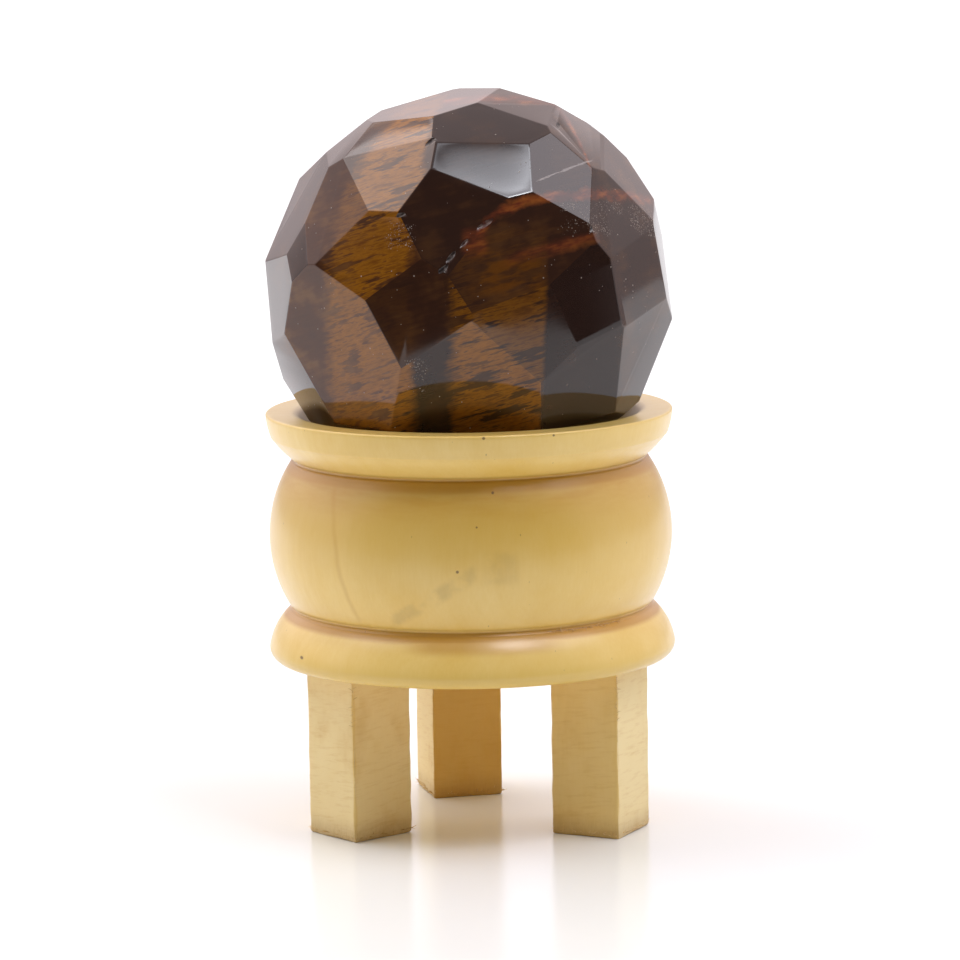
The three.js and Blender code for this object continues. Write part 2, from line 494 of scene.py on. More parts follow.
def rusted(colour, stone, grain, right_sheen):
    """Adds rust: a wavy streak that sinks at its left end, a lower one and one over the crown."""
    shader, across, depth, up, torn = grain.shader, grain.across, grain.depth, grain.up, grain.torn
    sway = (shader.noise(grain.place, 0.40, 3.0, 0.65) - 0.5) * 3.2
    sheet = up - 10.6 + 6.6 * (across * (-1.0 / 4.0)).exponent() + sway * 0.7
    first = (1.25 - abs(sheet) / 0.75).clamped() * across.within(0.0, 23.0, 1.4)
    second_sheet = up - 2.6 - 0.26 * (across - 5.6) + sway * 0.5
    second = (1.1 - abs(second_sheet) / 1.0).clamped() * across.within(4.6, 15.5, 2.6)
    bend = (across - 9.5).most(0.0)
    crown_sheet = up - 22.9 + 0.30 * bend * bend + sway * 0.25
    third = (1.2 - abs(crown_sheet) / 0.7).clamped() * across.within(-2.6, 15.0, 0.8)
    blob = across.within(-0.4, 2.2, 1.4) * up.within(3.0, 6.0, 1.6)
    rust = first.most(second * 0.8).most(third).most(blob * 0.8) * (0.25 + 0.6 * torn.rise(0.34, 0.60))
    rust = rust * depth.rise(4.0, -4.0)
    colour = shader.mix(rust, colour, shader.mix(torn.rise(0.45, 0.7), stone.rust, stone.orange))
    tip = across.within(0.6, 8.8, 2.2) * up.within(-1.6, 3.4, 1.6) * depth.rise(-10.0, -14.0)
    tip = tip * torn.rise(0.40, 0.58) * (1.0 - right_sheen)
    return shader.mix(tip * 0.75, colour, stone.amber)


def dust_in_pits(grain):
    """Polishing dust in open pits: thick in three patches on the front, thin elsewhere."""
    shader, across, up = grain.shader, grain.across, grain.up
    busy = across.within(11.2, 24.0, 2.6) * up.within(5.4, 9.8, 1.8)
    busy = busy.most(across.within(-9.8, -6.2, 2.0) * up.within(3.4, 7.4, 2.0))
    busy = busy.most(across.within(-7.8, -5.0, 1.6) * up.within(-13.5, -9.0, 2.0))
    busy = busy * grain.depth.rise(-3.0, -9.0) * (0.35 + grain.cloud.rise(0.38, 0.56)).least(1.0)
    grit = shader.noise(grain.place, 3.2, 3.0, 0.75)
    pits = shader.specks(grain.place, 4.6, 0.40, 0.55) * busy.rise(0.25, 0.8) * grit.rise(0.38, 0.55)
    pits = pits.most(grit.rise(0.58, 0.66) * busy.rise(0.5, 0.95) * 0.6)
    stray = shader.specks(grain.place, 1.1, 0.13, 0.13).most(shader.specks(grain.place, 2.6, 0.2, 0.03))
    return pits.most(stray)


def tigers_eye(stone):
    """Polished tiger's eye: upright gold bands of silk in near-black stone, with rust streaks."""
    shader = new_shader("tigers_eye")
    grain = StoneGrain(shader)
    fibre, fine = grain.fibre, grain.fine
    # Each flat's painted sheen: how brightly its left and right bands are painted lit, and how brown the rest
    # shows.
    left_sheen, right_sheen, brown_sheen = shader.parts(shader.attribute("silk_sheen", "Vector"))
    colour = sheen_colour(stone, grain, left_sheen, right_sheen, brown_sheen)
    colour = rusted(colour, stone, grain, right_sheen)
    vein_line = abs(grain.up - 12.2 - 0.42 * (grain.across - 9.0) + (fine - 0.5) * 0.5)
    vein = vein_line.rise(0.16, 0.03) * grain.across.within(8.6, 15.2, 0.8) * grain.depth.rise(0.0, -4.0)
    colour = shader.mix(vein * 0.5, colour, VEIN)
    dust = dust_in_pits(grain)
    colour = shader.mix(dust * 0.7, colour, POLISHING_DUST)
    chip = shader.attribute("chip", "Fac")
    shell = shader.noise(grain.place, 1.6, 2.0, 0.5)
    colour = shader.mix(chip * shell.rise(0.45, 0.6) * 0.3, colour, FRESH_CHIP)
    rough = (0.045 + 0.04 * grain.cloud + 0.45 * dust + 0.02 * fine).most(chip * 0.3)
    height = 0.20 * fibre + 0.05 * fine - 0.9 * dust + chip * shell
    return shader.finish(
        Base_Color=colour, Roughness=rough, IOR=1.52, Normal=shader.bump(height, 0.010 * MM, 0.5)
    )


# Chips along the ball's edges: turn and tilt of each, its width and its depth, in degrees and mm.
CHIPS = (
    (263.9, 12.3, 0.75, 0.10), (266.0, 16.1, 0.7, 0.09), (269.5, 19.6, 0.6, 0.08), (275.5, 24.7, 1.1, 0.12),
    (324.6, 56.1, 1.0, 0.12), (307.7, 20.2, 0.6, 0.07), (250.5, 26.7, 0.7, 0.08), (253.6, 49.8, 0.8, 0.09),
)


def chip_cutter(ball):
    """Slightly rippled egg shapes that dip into the ball's edges, one for each chip."""
    rng = np.random.default_rng(7)
    form = bmesh.new()
    for turn, tilt, width, depth in CHIPS:
        outward = direction(turn, tilt)
        _, point, _, _ = ball.ray_cast(BALL_MIDDLE + outward * 60 * MM, -outward)
        radius = (width * width / 8 / depth + depth / 2) * MM
        centre = point + outward * (radius - depth * MM)
        along = outward.cross(Vector((0.0, 0.0, 1.0))).normalized()
        along = Matrix.Rotation(rng.uniform(0.4, 1.0), 3, outward) @ along
        beside = outward.cross(along)
        for vert in bmesh.ops.create_icosphere(form, subdivisions=4, radius=radius)["verts"]:
            ripple = 1 + 0.012 * math.sin(40 * vert.co.x / radius) * math.sin(31 * vert.co.y / radius)
            shaped = vert.co * ripple
            shaped = shaped + along * along.dot(shaped) * 1.3 - beside * beside.dot(shaped) * 0.4
            vert.co = centre + shaped
    chip = form.faces.layers.float.new("chip")
    for face in form.faces:
        face[chip] = 1.0
        face.smooth = True
    bmesh.ops.recalc_face_normals(form, faces=form.faces)
    return placed("chips", mesh_from(form, "chips"))


def chipped(ball, surface):
    """Knocks the small chips out of the ball's edges; its surface covers them too."""
    cutter = chip_cutter(ball)
    modifier = ball.modifiers.new("chips", "BOOLEAN")
    modifier.operation, modifier.solver, modifier.object = "DIFFERENCE", "EXACT", cutter
    modifier.use_self = True
    mesh = finished_mesh(ball)
    bpy.data.objects.remove(cutter)
    mesh.materials.clear()
    mesh.materials.append(surface)
    mesh.set_sharp_from_angle(angle=math.radians(19))
    ball.data = mesh


class SPHERE_OT_ball(bpy.types.Operator):
    """Make the faceted stone ball from the solid's flats"""

    bl_idname = "sphere.ball"
    bl_label = "Stone ball"

    def execute(self, context):
        stone = context.scene.sphere_stone
        form = merged_copy("ball")
        form.faces.layers.float.new("chip")
        # Each flat takes its painted sheen from the table.
        silk_sheen = form.faces.layers.float_vector.new("silk_sheen")
        for flat in form.faces:
            flat[silk_sheen] = painted_sheen_of(flat.normal)
        bmesh.ops.bevel(
            form, geom=list(form.edges), offset=stone.edge, segments=2, profile=0.5,
            affect="EDGES", clamp_overlap=True,
        )
        pillowed(form, stone.lean, stone.lean_reach)
        for face in form.faces:
            face.smooth = True
        surface = tigers_eye(stone)
        ball = placed("tigers_eye_ball", mesh_from(form, "tigers_eye_ball", surface))
        context.view_layer.update()
        chipped(ball, surface)
        stands_for(ball, "tigers_eye", "ball")
        return {"FINISHED"}


# ---------------------------------------------------------------- the wooden stand


# Colours of the wood's own marks and of what has soaked into it, and of painted light and shade: the feet's
# painted lit sides and the painted shade under the rim; the feet also darken towards their underside.
PAINTED_SIDE_LIGHT = (0.97, 0.80, 0.47)
SAW_MARK = (0.66, 0.37, 0.09)
AMBER_GRAIN = (0.62, 0.33, 0.045)
UNDERSIDE_DARK = (0.26, 0.115, 0.035)
PAINTED_SHADE_UNDER_RIM = (0.60, 0.355, 0.05)
PLINTH = (0.70, 0.46, 0.07)
SMUDGE = (0.47, 0.30, 0.07)
KNOT = (0.16, 0.075, 0.018)

# Pin knots on the front of the turned body: across, height from its middle, and size, in millimetres.
PIN_KNOTS = (
    (1.7, 15.15, 0.24), (2.7, 8.2, 0.22), (-1.7, -1.0, 0.24), (-21.0, -13.2, 0.26), (0.7, 4.3, 0.16),
    (10.1, 15.1, 0.18),
)


class WoodGrain:
    """Where a point of the wood is, in millimetres from the body's middle, and its pale figure."""

    def __init__(self, shader, settings, turn=(0.0, 0.0, 0.0)):
        self.place = shader.coordinates(BODY_MIDDLE, turn)
        self.across, self.depth, self.up = shader.parts(self.place)
        wander = shader.grain(self.place, (0.05, 0.05, 0.02), 2.0, 0.5)
        ring_x, ring_y = self.across + 31.0, self.depth - 46.0
        radius = (ring_x * ring_x + ring_y * ring_y) ** 0.5 + 9.0 * wander
        ring = shader.noise(shader.node("ShaderNodeCombineXYZ", None, {0: radius}), 0.55, 3.0, 0.6)
        self.fibre = shader.grain(self.place, (3.6, 3.6, 0.32), 3.0, 0.6)
        self.patch = shader.grain(self.place, (0.12, 0.12, 0.09), 4.0, 0.6)
        figure = 0.32 + (ring - 0.5) * 0.8 + (self.fibre - 0.5) * 0.45 + (self.patch - 0.5) * 1.5
        self.colour = shader.mix(figure.clamped(), settings.pale, settings.deep)


def sawn_wood(name, settings, turn, amber):
    """Rough wood with the saw's marks, with painted light on its sides that face along X, and darker towards
    its underside.
    """
    shader = new_shader(name)
    grain = WoodGrain(shader, settings, turn)
    # Painted light: the sides that face along X, towards the side lights, are painted paler and show less
    # amber grain.
    facing = shader.parts(shader.node("ShaderNodeNewGeometry", output="Normal"))[0]
    painted_side_light = abs(facing).rise(0.35, 0.95)
    colour = shader.mix(0.22 + 0.63 * painted_side_light, grain.colour, PAINTED_SIDE_LIGHT)
    saw = shader.grain(shader.turned(grain.place, (0.0, 0.12, 0.0)), (0.30, 0.30, 2.2), 4.0, 0.65)
    torn = shader.grain(grain.place, (4.0, 4.0, 0.9), 4.0, 0.7)
    darker = ((saw - 0.50).most(0.0) * 1.2).least(0.5) + grain.patch.rise(0.5, 0.72) * 0.3
    colour = shader.mix(darker, colour, SAW_MARK)
    colour = shader.mix(amber * (1.0 - 0.8 * painted_side_light), colour, AMBER_GRAIN)
    # Darker towards the underside of the foot.
    underside_dark = (grain.up + 36.6).rise(3.4, -0.6) * (0.35 + torn)
    colour = shader.mix((underside_dark * 0.5).least(1.0), colour, UNDERSIDE_DARK)
    normal = shader.bump(0.5 * saw + 0.5 * torn, 0.03 * MM, 0.6)
    return shader.finish(Base_Color=colour, Roughness=0.55 + 0.2 * torn, IOR=1.45, Normal=normal)


def stained_and_shaded(shader, colour, grain, stain_and_shade):
    """Adds the stain and painted shade: stain and painted shade in the two grooves, painted shadow running
    out unevenly below them, painted shade under the rim, and a darker base ring towards the bottom.
    """
    up = grain.up
    smear = shader.grain(grain.place, (0.16, 0.16, 0.9), 3.0, 0.6)
    # Stain and painted shade in the upper groove, then the rim's painted shadow running out unevenly down the
    # belly.
    upper = up.within(8.1, 9.75, 0.9) * (0.55 + 0.5 * smear)
    upper = upper.most(up.rise(3.5, 9.2) * (9.9 - up).rise(0.0, 0.3) * (0.15 + smear.rise(0.3, 0.75) * 0.5))
    # Stain and painted shade in the lower groove, with painted shadow below it on the front.
    lower = up.within(-10.1, -8.95, 0.7) * (0.75 + 0.5 * smear)
    middle_front = grain.across.within(-7.0, 10.0, 5.0) * grain.depth.rise(-4.0, -10.0)
    lower = lower.most(up.within(-11.2, -8.95, 1.2) * middle_front * 0.65)
    # Painted shade over the upper belly, deepest just under the rim.
    colour = shader.mix(up.rise(-6.0, 9.0) * up.rise(10.2, 9.6) * 0.75, colour, PAINTED_SHADE_UNDER_RIM)
    # Darker towards the bottom of the base ring.
    colour = shader.mix(up.rise(-12.5, -15.3) * 0.6, colour, PLINTH)
    return shader.mix(upper.most(lower).least(0.9), colour, stain_and_shade)


def marked(shader, colour, grain, stain_and_shade):
    """Adds a growth line down the left, smudges low on the front, pin knots and open pores."""
    across, up = grain.across, grain.up
    front = grain.depth.rise(-4.0, -10.0)
    low = (up - 4.0).least(0.0)
    bend = shader.grain(grain.place, (0.0, 0.0, 0.16), 2.0, 0.5)
    line = abs(across + 16.6 - 0.020 * low * low + (bend - 0.5))
    line = line.rise(0.5, 0.0) * up.within(-8.0, 8.6, 3.0) * front
    colour = shader.mix(line * 0.28, colour, stain_and_shade)
    rag = shader.noise(grain.place, 0.36, 3.0, 0.55)
    smudge = abs(up + 4.6 - 0.62 * (across + 5.0)).rise(1.6, 0.5) * across.within(-9.6, 0.4, 1.2)
    blot = across.within(1.6, 5.6, 1.4) * up.within(-2.8, 1.2, 1.4)
    smudge = smudge.most(blot * 0.7) * rag.rise(0.32, 0.66) * front
    colour = shader.mix(smudge * 0.34, colour, SMUDGE)
    knots = 0.0
    for x, height, size in PIN_KNOTS:
        gap = ((across - x) * (across - x) + (up - height) * (up - height)) ** 0.5
        knots = gap.rise(size, size * 0.45) + knots
    knots = (knots * front).least(1.0)
    pores = shader.specks(shader.stretched(grain.place, (1.0, 1.0, 0.5)), 1.0, 0.10, 0.12)
    return shader.mix(knots.most(pores * 0.5) * 0.85, colour, KNOT)


def turned_wood(settings):
    """Smooth waxed wood with stain and painted shade in its grooves, painted shade under the rim, and the
    chisel's fine rings.
    """
    shader = new_shader("turned_wood")
    grain = WoodGrain(shader, settings)
    colour = stained_and_shaded(shader, grain.colour, grain, settings.stain_and_shade)
    colour = marked(shader, colour, grain, settings.stain_and_shade)
    fine = shader.grain(grain.place, (11.0, 11.0, 0.9), 2.0, 0.6)
    turning = shader.grain(grain.place, (0.02, 0.02, 2.6), 3.0, 0.6)
    normal = shader.bump(0.5 * turning + 0.25 * fine, 0.02 * MM, 0.4)
    return shader.finish(
        Base_Color=colour, Roughness=0.36 + 0.12 * grain.fibre, IOR=1.45,
        Coat_Weight=0.8, Coat_Roughness=0.27, Normal=normal,
    )


def arc(start, end, bulge, steps):
    """Points of a round stretch of a profile, without its end; it bulges to the right of its way."""
    start, end = Vector(start), Vector(end)
    chord = end - start
    half = chord.length / 2
    if abs(bulge) < 1e-9:
        return [start.lerp(end, i / steps) for i in range(steps)]
    radius = (half * half + bulge * bulge) / (2 * bulge)
    right = Vector((chord.y, -chord.x)).normalized()
    centre = (start + end) / 2 + right * (bulge - radius)
    sweep = 2 * math.asin(half / radius)
    spoke = start - centre
    points = []
    for i in range(steps):
        turn = sweep * i / steps
        turned = Vector((
            spoke.x * math.cos(turn) - spoke.y * math.sin(turn),
            spoke.x * math.sin(turn) + spoke.y * math.cos(turn),
        ))
        points.append(centre + turned)
    return points


# The dish is part of a sphere; sizes in millimetres, heights above the body's underside.
DISH_RADIUS, DISH_CENTRE_HEIGHT, DISH_EDGE, DISH_STEPS = 26.2, 45.8, 21.16, 44


def body_profile():
    """The turned body's outline in millimetres: out along the underside, up and down the dish."""
    stretches = [
        ((0, 0), (24.5, 0), 0, 22),
        ((24.5, 0), (24.85, 0.14), 0.04, 3),
        ((24.85, 0.14), (25.45, 1.4), 0.18, 8),
        ((25.45, 1.4), (22.75, 6.15), 0.5, 26),
        ((22.75, 6.15), (22.5, 6.42), 0.05, 4),
        ((22.5, 6.42), (22.85, 6.85), -0.12, 6),
        ((22.85, 6.85), (22.45, 24.55), 2.55, 62),
        ((22.45, 24.55), (22.1, 24.9), 0.06, 4),
        ((22.1, 24.9), (22.4, 25.35), -0.10, 6),
        ((22.4, 25.35), (24.62, 27.7), 0.10, 16),
        ((24.62, 27.7), (24.9, 28.2), 0.06, 4),
        ((24.9, 28.2), (25.4, 30.6), 0.08, 12),
        ((25.4, 30.6), (25.15, 30.85), 0.06, 5),
        ((25.15, 30.85), (22.3, 30.85), -0.02, 10),
        ((22.3, 30.85), (DISH_EDGE, 30.35), 0.14, 8),
    ]
    points = [point for stretch in stretches for point in arc(*stretch)]
    edge = math.asin(DISH_EDGE / DISH_RADIUS)
    for i in range(DISH_STEPS + 1):
        angle = edge * (1 - i / DISH_STEPS)
        height = DISH_CENTRE_HEIGHT - DISH_RADIUS * math.cos(angle)
        points.append(Vector((DISH_RADIUS * math.sin(angle), height)))
    return points


class Nodes:
    """A Geometry Nodes tree built in code."""

    def __init__(self, name):
        self.tree = bpy.data.node_groups.new(name, "GeometryNodeTree")
        self.sockets = {}
        self.add_socket("Geometry", "NodeSocketGeometry")
        self.tree.interface.new_socket("Geometry", in_out="OUTPUT", socket_type="NodeSocketGeometry")
        self.inside = self.tree.nodes.new("NodeGroupInput")

    def add_socket(self, name, kind, default=None):
        socket = self.tree.interface.new_socket(name, in_out="INPUT", socket_type=kind)
        if default is not None:
            socket.default_value = default
        self.sockets[name] = socket.identifier

    def __getitem__(self, name):
        return self.inside.outputs[name]

    def node(self, kind, settings=None, inputs=None, output=0):
        return add_node(self.tree, kind, settings, inputs).outputs[output]

    def maths(self, operation, *values):
        return self.node("ShaderNodeMath", {"operation": operation}, dict(enumerate(values)))

    def end(self, geometry, material):
        real = self.node("GeometryNodeRealizeInstances", None, {0: geometry})
        dressed = self.node("GeometryNodeSetMaterial", None, {"Geometry": real, "Material": material})
        add_node(self.tree, "NodeGroupOutput", None, {0: dressed})

    def made_from(self, start_mesh, name, **values):
        """The tree's result on a starting mesh, as a plain mesh object with no modifier."""
        carrier = placed(name + "_plan", start_mesh)
        modifier = carrier.modifiers.new("make", "NODES")
        modifier.node_group = self.tree
        for key, value in values.items():
            modifier[self.sockets[key.replace("_", " ")]] = value
        mesh = finished_mesh(carrier)
        mesh.name = name
        bpy.data.objects.remove(carrier)
        bpy.data.meshes.remove(start_mesh)
        bpy.data.node_groups.remove(self.tree)
        return placed(name, mesh)


def lathe(profile_count, material):
    """Turns a profile's points round the upright axis, with shallow rings left by the chisel."""
    nodes = Nodes("Lathe")
    nodes.add_socket("Rounds", "NodeSocketInt", 216)
    nodes.add_socket("Tool marks", "NodeSocketFloat", 0.0)
    nodes.add_socket("Seed", "NodeSocketInt", 4)
    around = nodes.maths("ADD", nodes["Rounds"], 1.0)
    grid = nodes.node("GeometryNodeMeshGrid", None, {2: around, 3: profile_count})
    index = nodes.node("GeometryNodeInputIndex")
    row = nodes.maths("FLOOR", nodes.maths("DIVIDE", index, float(profile_count)))
    step = nodes.maths("MODULO", index, float(profile_count))
    place = nodes.node("GeometryNodeInputPosition")
    sampled = nodes.node(
        "GeometryNodeSampleIndex", {"data_type": "FLOAT_VECTOR", "domain": "POINT"},
        {"Geometry": nodes["Geometry"], "Value": place, "Index": step},
    )
    split = nodes.node("ShaderNodeSeparateXYZ", None, {0: sampled})
    radius, height = split, split.node.outputs[2]
    marks = nodes.node(
        "ShaderNodeTexNoise", {"noise_dimensions": "2D"},
        {"Vector": nodes.node(
            "ShaderNodeCombineXYZ", None, {0: nodes.maths("MULTIPLY", height, 1400.0), 1: nodes["Seed"]}
        ), "Scale": 1.0, "Detail": 3.0, "Roughness": 0.6},
    )
    cut = nodes.maths("MULTIPLY", nodes.maths("SUBTRACT", marks, 0.5), nodes["Tool marks"])
    near_axis = nodes.maths("MINIMUM", nodes.maths("MULTIPLY", radius, 60.0), 1.0)
    worked = nodes.maths("ADD", radius, nodes.maths("MULTIPLY", cut, near_axis))
    angle = nodes.maths("DIVIDE", nodes.maths("MULTIPLY", row, math.tau), nodes["Rounds"])
    east = nodes.maths("MULTIPLY", worked, nodes.maths("COSINE", angle))
    north = nodes.maths("MULTIPLY", worked, nodes.maths("SINE", angle))
    turned = nodes.node("ShaderNodeCombineXYZ", None, {0: east, 1: north, 2: height})
    placed = nodes.node("GeometryNodeSetPosition", None, {"Geometry": grid, "Position": turned})
    closed = nodes.node("GeometryNodeMergeByDistance", None, {"Geometry": placed, "Distance": 1e-6})
    smooth = nodes.node("GeometryNodeSetShadeSmooth", None, {"Geometry": closed, "Shade Smooth": True})
    nodes.end(smooth, material)
    return nodes


def faced_outwards(mesh):
    """Turns every face of a closed mesh outwards."""
    form = bmesh.new()
    form.from_mesh(mesh)
    bmesh.ops.recalc_face_normals(form, faces=form.faces)
    form.to_mesh(mesh)
    form.free()


class SPHERE_OT_body(bpy.types.Operator):
    """Turn the stand's body from its profile"""

    bl_idname = "sphere.body"
    bl_label = "Turned body"

    def execute(self, context):
        settings = context.scene.sphere_wood
        points = body_profile()
        plan = bpy.data.meshes.new("body_plan")
        heights = [BODY_LOW.z + point.y * MM for point in points]
        radii = [point.x * MM for point in points]
        plan.from_pydata([(r, 0.0, z) for r, z in zip(radii, heights)], [], [])
        body = lathe(len(points), turned_wood(settings)).made_from(
            plan, "turned_body", Rounds=settings.rounds, Tool_marks=settings.tool_marks, Seed=4
        )
        faced_outwards(body.data)
        stands_for(body, "turned_wood", "stand_body")
        return {"FINISHED"}


# How far each foot's sides are turned from the axes, in degrees.
FOOT_TURNS = {"foot_left": 40, "foot_right": 63, "foot_back": 14}
FOOT_SIDE = 9.2 * MM


def wobble(point, size, seed):
    """A smooth uneven number, about -1 to 1, that changes over a size."""
    x, y, z = (point / size) + Vector((seed * 1.7, seed * 2.3, seed * 0.9))
    return (
        math.sin(x * 1.3 + 2.1 * math.sin(y * 0.7 + z)) + math.sin(y * 1.1 + 1.7 * math.sin(z * 0.9 + x))
        + math.sin(z * 1.2 + 1.9 * math.sin(x * 0.8 + y))
    ) / 3


def spaced(half, near_edge, steps):
    """Places from -half to half, closer together near both ends."""
    inner = np.linspace(-(half - near_edge), half - near_edge, steps)
    rim = np.linspace(0, near_edge, 5)[1:]
    return [-half + near_edge - offset for offset in rim[::-1]] + list(inner) + [
        half - near_edge + offset for offset in rim
    ]


def plain_block(axes):
    """A closed block of small faces, with corners at every place given on each of its three axes."""
    form = bmesh.new()
    corners = {}

    def corner(key):
        if key not in corners:
            corners[key] = form.verts.new([axes[i][key[i]] for i in range(3)])
        return corners[key]

    last = [len(axis) - 1 for axis in axes]
    for axis in range(3):
        first, second = (axis + 1) % 3, (axis + 2) % 3
        for level in (0, last[axis]):
            for i in range(last[first]):
                for j in range(last[second]):
                    ring = [(i, j), (i + 1, j), (i + 1, j + 1), (i, j + 1)]
                    if level == 0:
                        ring.reverse()
                    keys = []
                    for a, b in ring:
                        key = [0, 0, 0]
                        key[axis], key[first], key[second] = level, a, b
                        keys.append(tuple(key))
                    form.faces.new([corner(key) for key in keys])
    for face in form.faces:
        face.smooth = True
    return form


def worn(point, half, seed):
    """Where a point of a block goes as its edges wear round and its upright faces go uneven."""
    wear = (0.34 + 0.16 * wobble(point, 1.1 * MM, seed)) * MM
    limit = half - Vector((wear, wear, wear))
    kept = Vector([max(-limit[i], min(limit[i], point[i])) for i in range(3)])
    spare = point - kept
    if spare.length > 1e-9:
        longest = max(abs(spare.x), abs(spare.y), abs(spare.z))
        point = kept + spare.normalized() * min(spare.length, wear * longest / max(longest, 1e-9))
    outward = Vector([point[i] / half[i] for i in range(3)])
    face = max(range(3), key=lambda i: abs(outward[i]))
    if face != 2:
        push = 0.05 * wobble(point, 1.9 * MM, seed + 3) + 0.025 * wobble(point, 0.5 * MM, seed + 5)
        point[face] -= math.copysign((push + 0.05) * MM, point[face])
    return point


def sawn_block(middle, height, turn, seed):
    """A square sawn foot, turned about its upright axis and set in its place."""
    half = Vector((FOOT_SIDE / 2, FOOT_SIDE / 2, height / 2))
    form = plain_block([spaced(half[i], 0.5 * MM, steps) for i, steps in enumerate((15, 15, 42))])
    spin = Matrix.Rotation(math.radians(turn), 4, "Z")
    for vert in form.verts:
        vert.co = middle + spin @ worn(vert.co.copy(), half, seed)
    return form


class SPHERE_OT_feet(bpy.types.Operator):
    """Saw the three square feet"""

    bl_idname = "sphere.feet"
    bl_label = "Sawn feet"

    def execute(self, context):
        settings = context.scene.sphere_wood
        for number, (name, turn) in enumerate(FOOT_TURNS.items()):
            low, high = (Vector(corner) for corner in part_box(name))
            amber = 0.6 if name == "foot_back" else 0.15
            grain_turn = (0.0, 0.0, math.radians(40 * number))
            material = sawn_wood("sawn_" + name, settings, grain_turn, amber)
            form = sawn_block((low + high) / 2, high.z - low.z, turn, number + 1)
            foot = placed("sawn_" + name, mesh_from(form, "sawn_" + name, material))
            stands_for(foot, "sawn_wood", name)
        return {"FINISHED"}


def hair():
    """Thin tapering fibres along a plan's edges, each leaning its own way out of the wood."""
    nodes = Nodes("Fibres")
    nodes.add_socket("Spacing", "NodeSocketFloat", 0.25 * MM)
    nodes.add_socket("Fibre length", "NodeSocketFloat", 0.55 * MM)
    nodes.add_socket("Fibre width", "NodeSocketFloat", 0.05 * MM)
    nodes.add_socket("Seed", "NodeSocketInt", 11)
    nodes.add_socket("Material", "NodeSocketMaterial")
    curve = nodes.node("GeometryNodeMeshToCurve", None, {"Mesh": nodes["Geometry"]})
    spaced_out = nodes.node(
        "GeometryNodeResampleCurve", {"mode": "LENGTH"}, {"Curve": curve, "Length": nodes["Spacing"]}
    )
    away = nodes.node(
        "GeometryNodeInputNamedAttribute", {"data_type": "FLOAT_VECTOR"}, {"Name": "away"}
    )
    stray = nodes.node(
        "FunctionNodeRandomValue", {"data_type": "FLOAT_VECTOR"},
        {0: (-0.9, -0.9, -0.05), 1: (0.9, 0.9, 1.0), "Seed": nodes["Seed"]},
    )
    lean = nodes.node("ShaderNodeVectorMath", {"operation": "ADD"}, {0: away, 1: stray})
    turn = nodes.node("FunctionNodeAlignRotationToVector", {"axis": "Z"}, {"Vector": lean})
    size = nodes.node(
        "FunctionNodeRandomValue", {"data_type": "FLOAT"}, {2: 0.25, 3: 1.0, "Seed": nodes["Seed"]}, 1
    )
    cone = nodes.node(
        "GeometryNodeMeshCone", None,
        {"Vertices": 4, "Radius Top": nodes.maths("MULTIPLY", nodes["Fibre width"], 0.15),
         "Radius Bottom": nodes.maths("MULTIPLY", nodes["Fibre width"], 0.5), "Depth": nodes["Fibre length"]},
    )
    planted = nodes.node(
        "GeometryNodeInstanceOnPoints", None,
        {"Points": spaced_out, "Instance": cone, "Rotation": turn, "Scale": size},
    )
    nodes.end(planted, nodes["Material"])
    return nodes


# How far the fibres stand in from a foot's sides and above its underside; the low groove's radius
# and height, and where round it its fibres start and how far they spread, in degrees.
FIBRE_INSET, FIBRE_HEIGHT = 0.16 * MM, 0.45 * MM
GROOVE_RADIUS, GROOVE_HEIGHT = 22.75 * MM, 6.2 * MM
GROOVE_START, GROOVE_SPREAD = -66, 28


def fibre_chains():
    """Chains of points with the way out: round each foot, up its front edge and in the low groove."""
    chains = []
    for name, turn in FOOT_TURNS.items():
        low, high = (Vector(corner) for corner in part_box(name))
        middle, spin = (low + high) / 2, Matrix.Rotation(math.radians(turn), 3, "Z")
        half = FOOT_SIDE / 2 - FIBRE_INSET
        signs = ((-1, -1), (1, -1), (1, 1), (-1, 1), (-1, -1))
        corners = [Vector((x * half, y * half, 0.0)) for x, y in signs]
        foot = []
        for start, end in zip(corners, corners[1:]):
            for i in range(12):
                side = start.lerp(end, i / 11)
                foot.append((middle + spin @ side, (spin @ side).normalized()))
        chains.append([(Vector((p.x, p.y, low.z + FIBRE_HEIGHT)), way) for p, way in foot])
        near = min((spin @ corner for corner in corners), key=lambda corner: corner.y)
        heights = [low.z + share * (high.z - low.z) for share in (0.7, 0.97)]
        edge = [Vector((middle.x + near.x, middle.y + near.y, z)) for z in heights]
        chains.append([(point, near.normalized()) for point in edge])
    groove = []
    lift = Vector((0, 0, BODY_LOW.z + GROOVE_HEIGHT))
    for i in range(16):
        way = direction(GROOVE_START + GROOVE_SPREAD * i / 15, 0)
        groove.append((way * GROOVE_RADIUS + lift, way + Vector((0, 0, -0.4))))
    return chains + [groove]


def torn_fibre():
    """The dull straw colour of torn wood, in two tones."""
    shader = new_shader("torn_fibre")
    tint = shader.noise(shader.coordinates((0, 0, 0)), 0.9, 2.0, 0.5)
    colour = shader.mix(tint.rise(0.35, 0.65), (0.80, 0.60, 0.30), (0.55, 0.33, 0.10))
    return shader.finish(Base_Color=colour, Roughness=0.7 + 0.1 * tint)


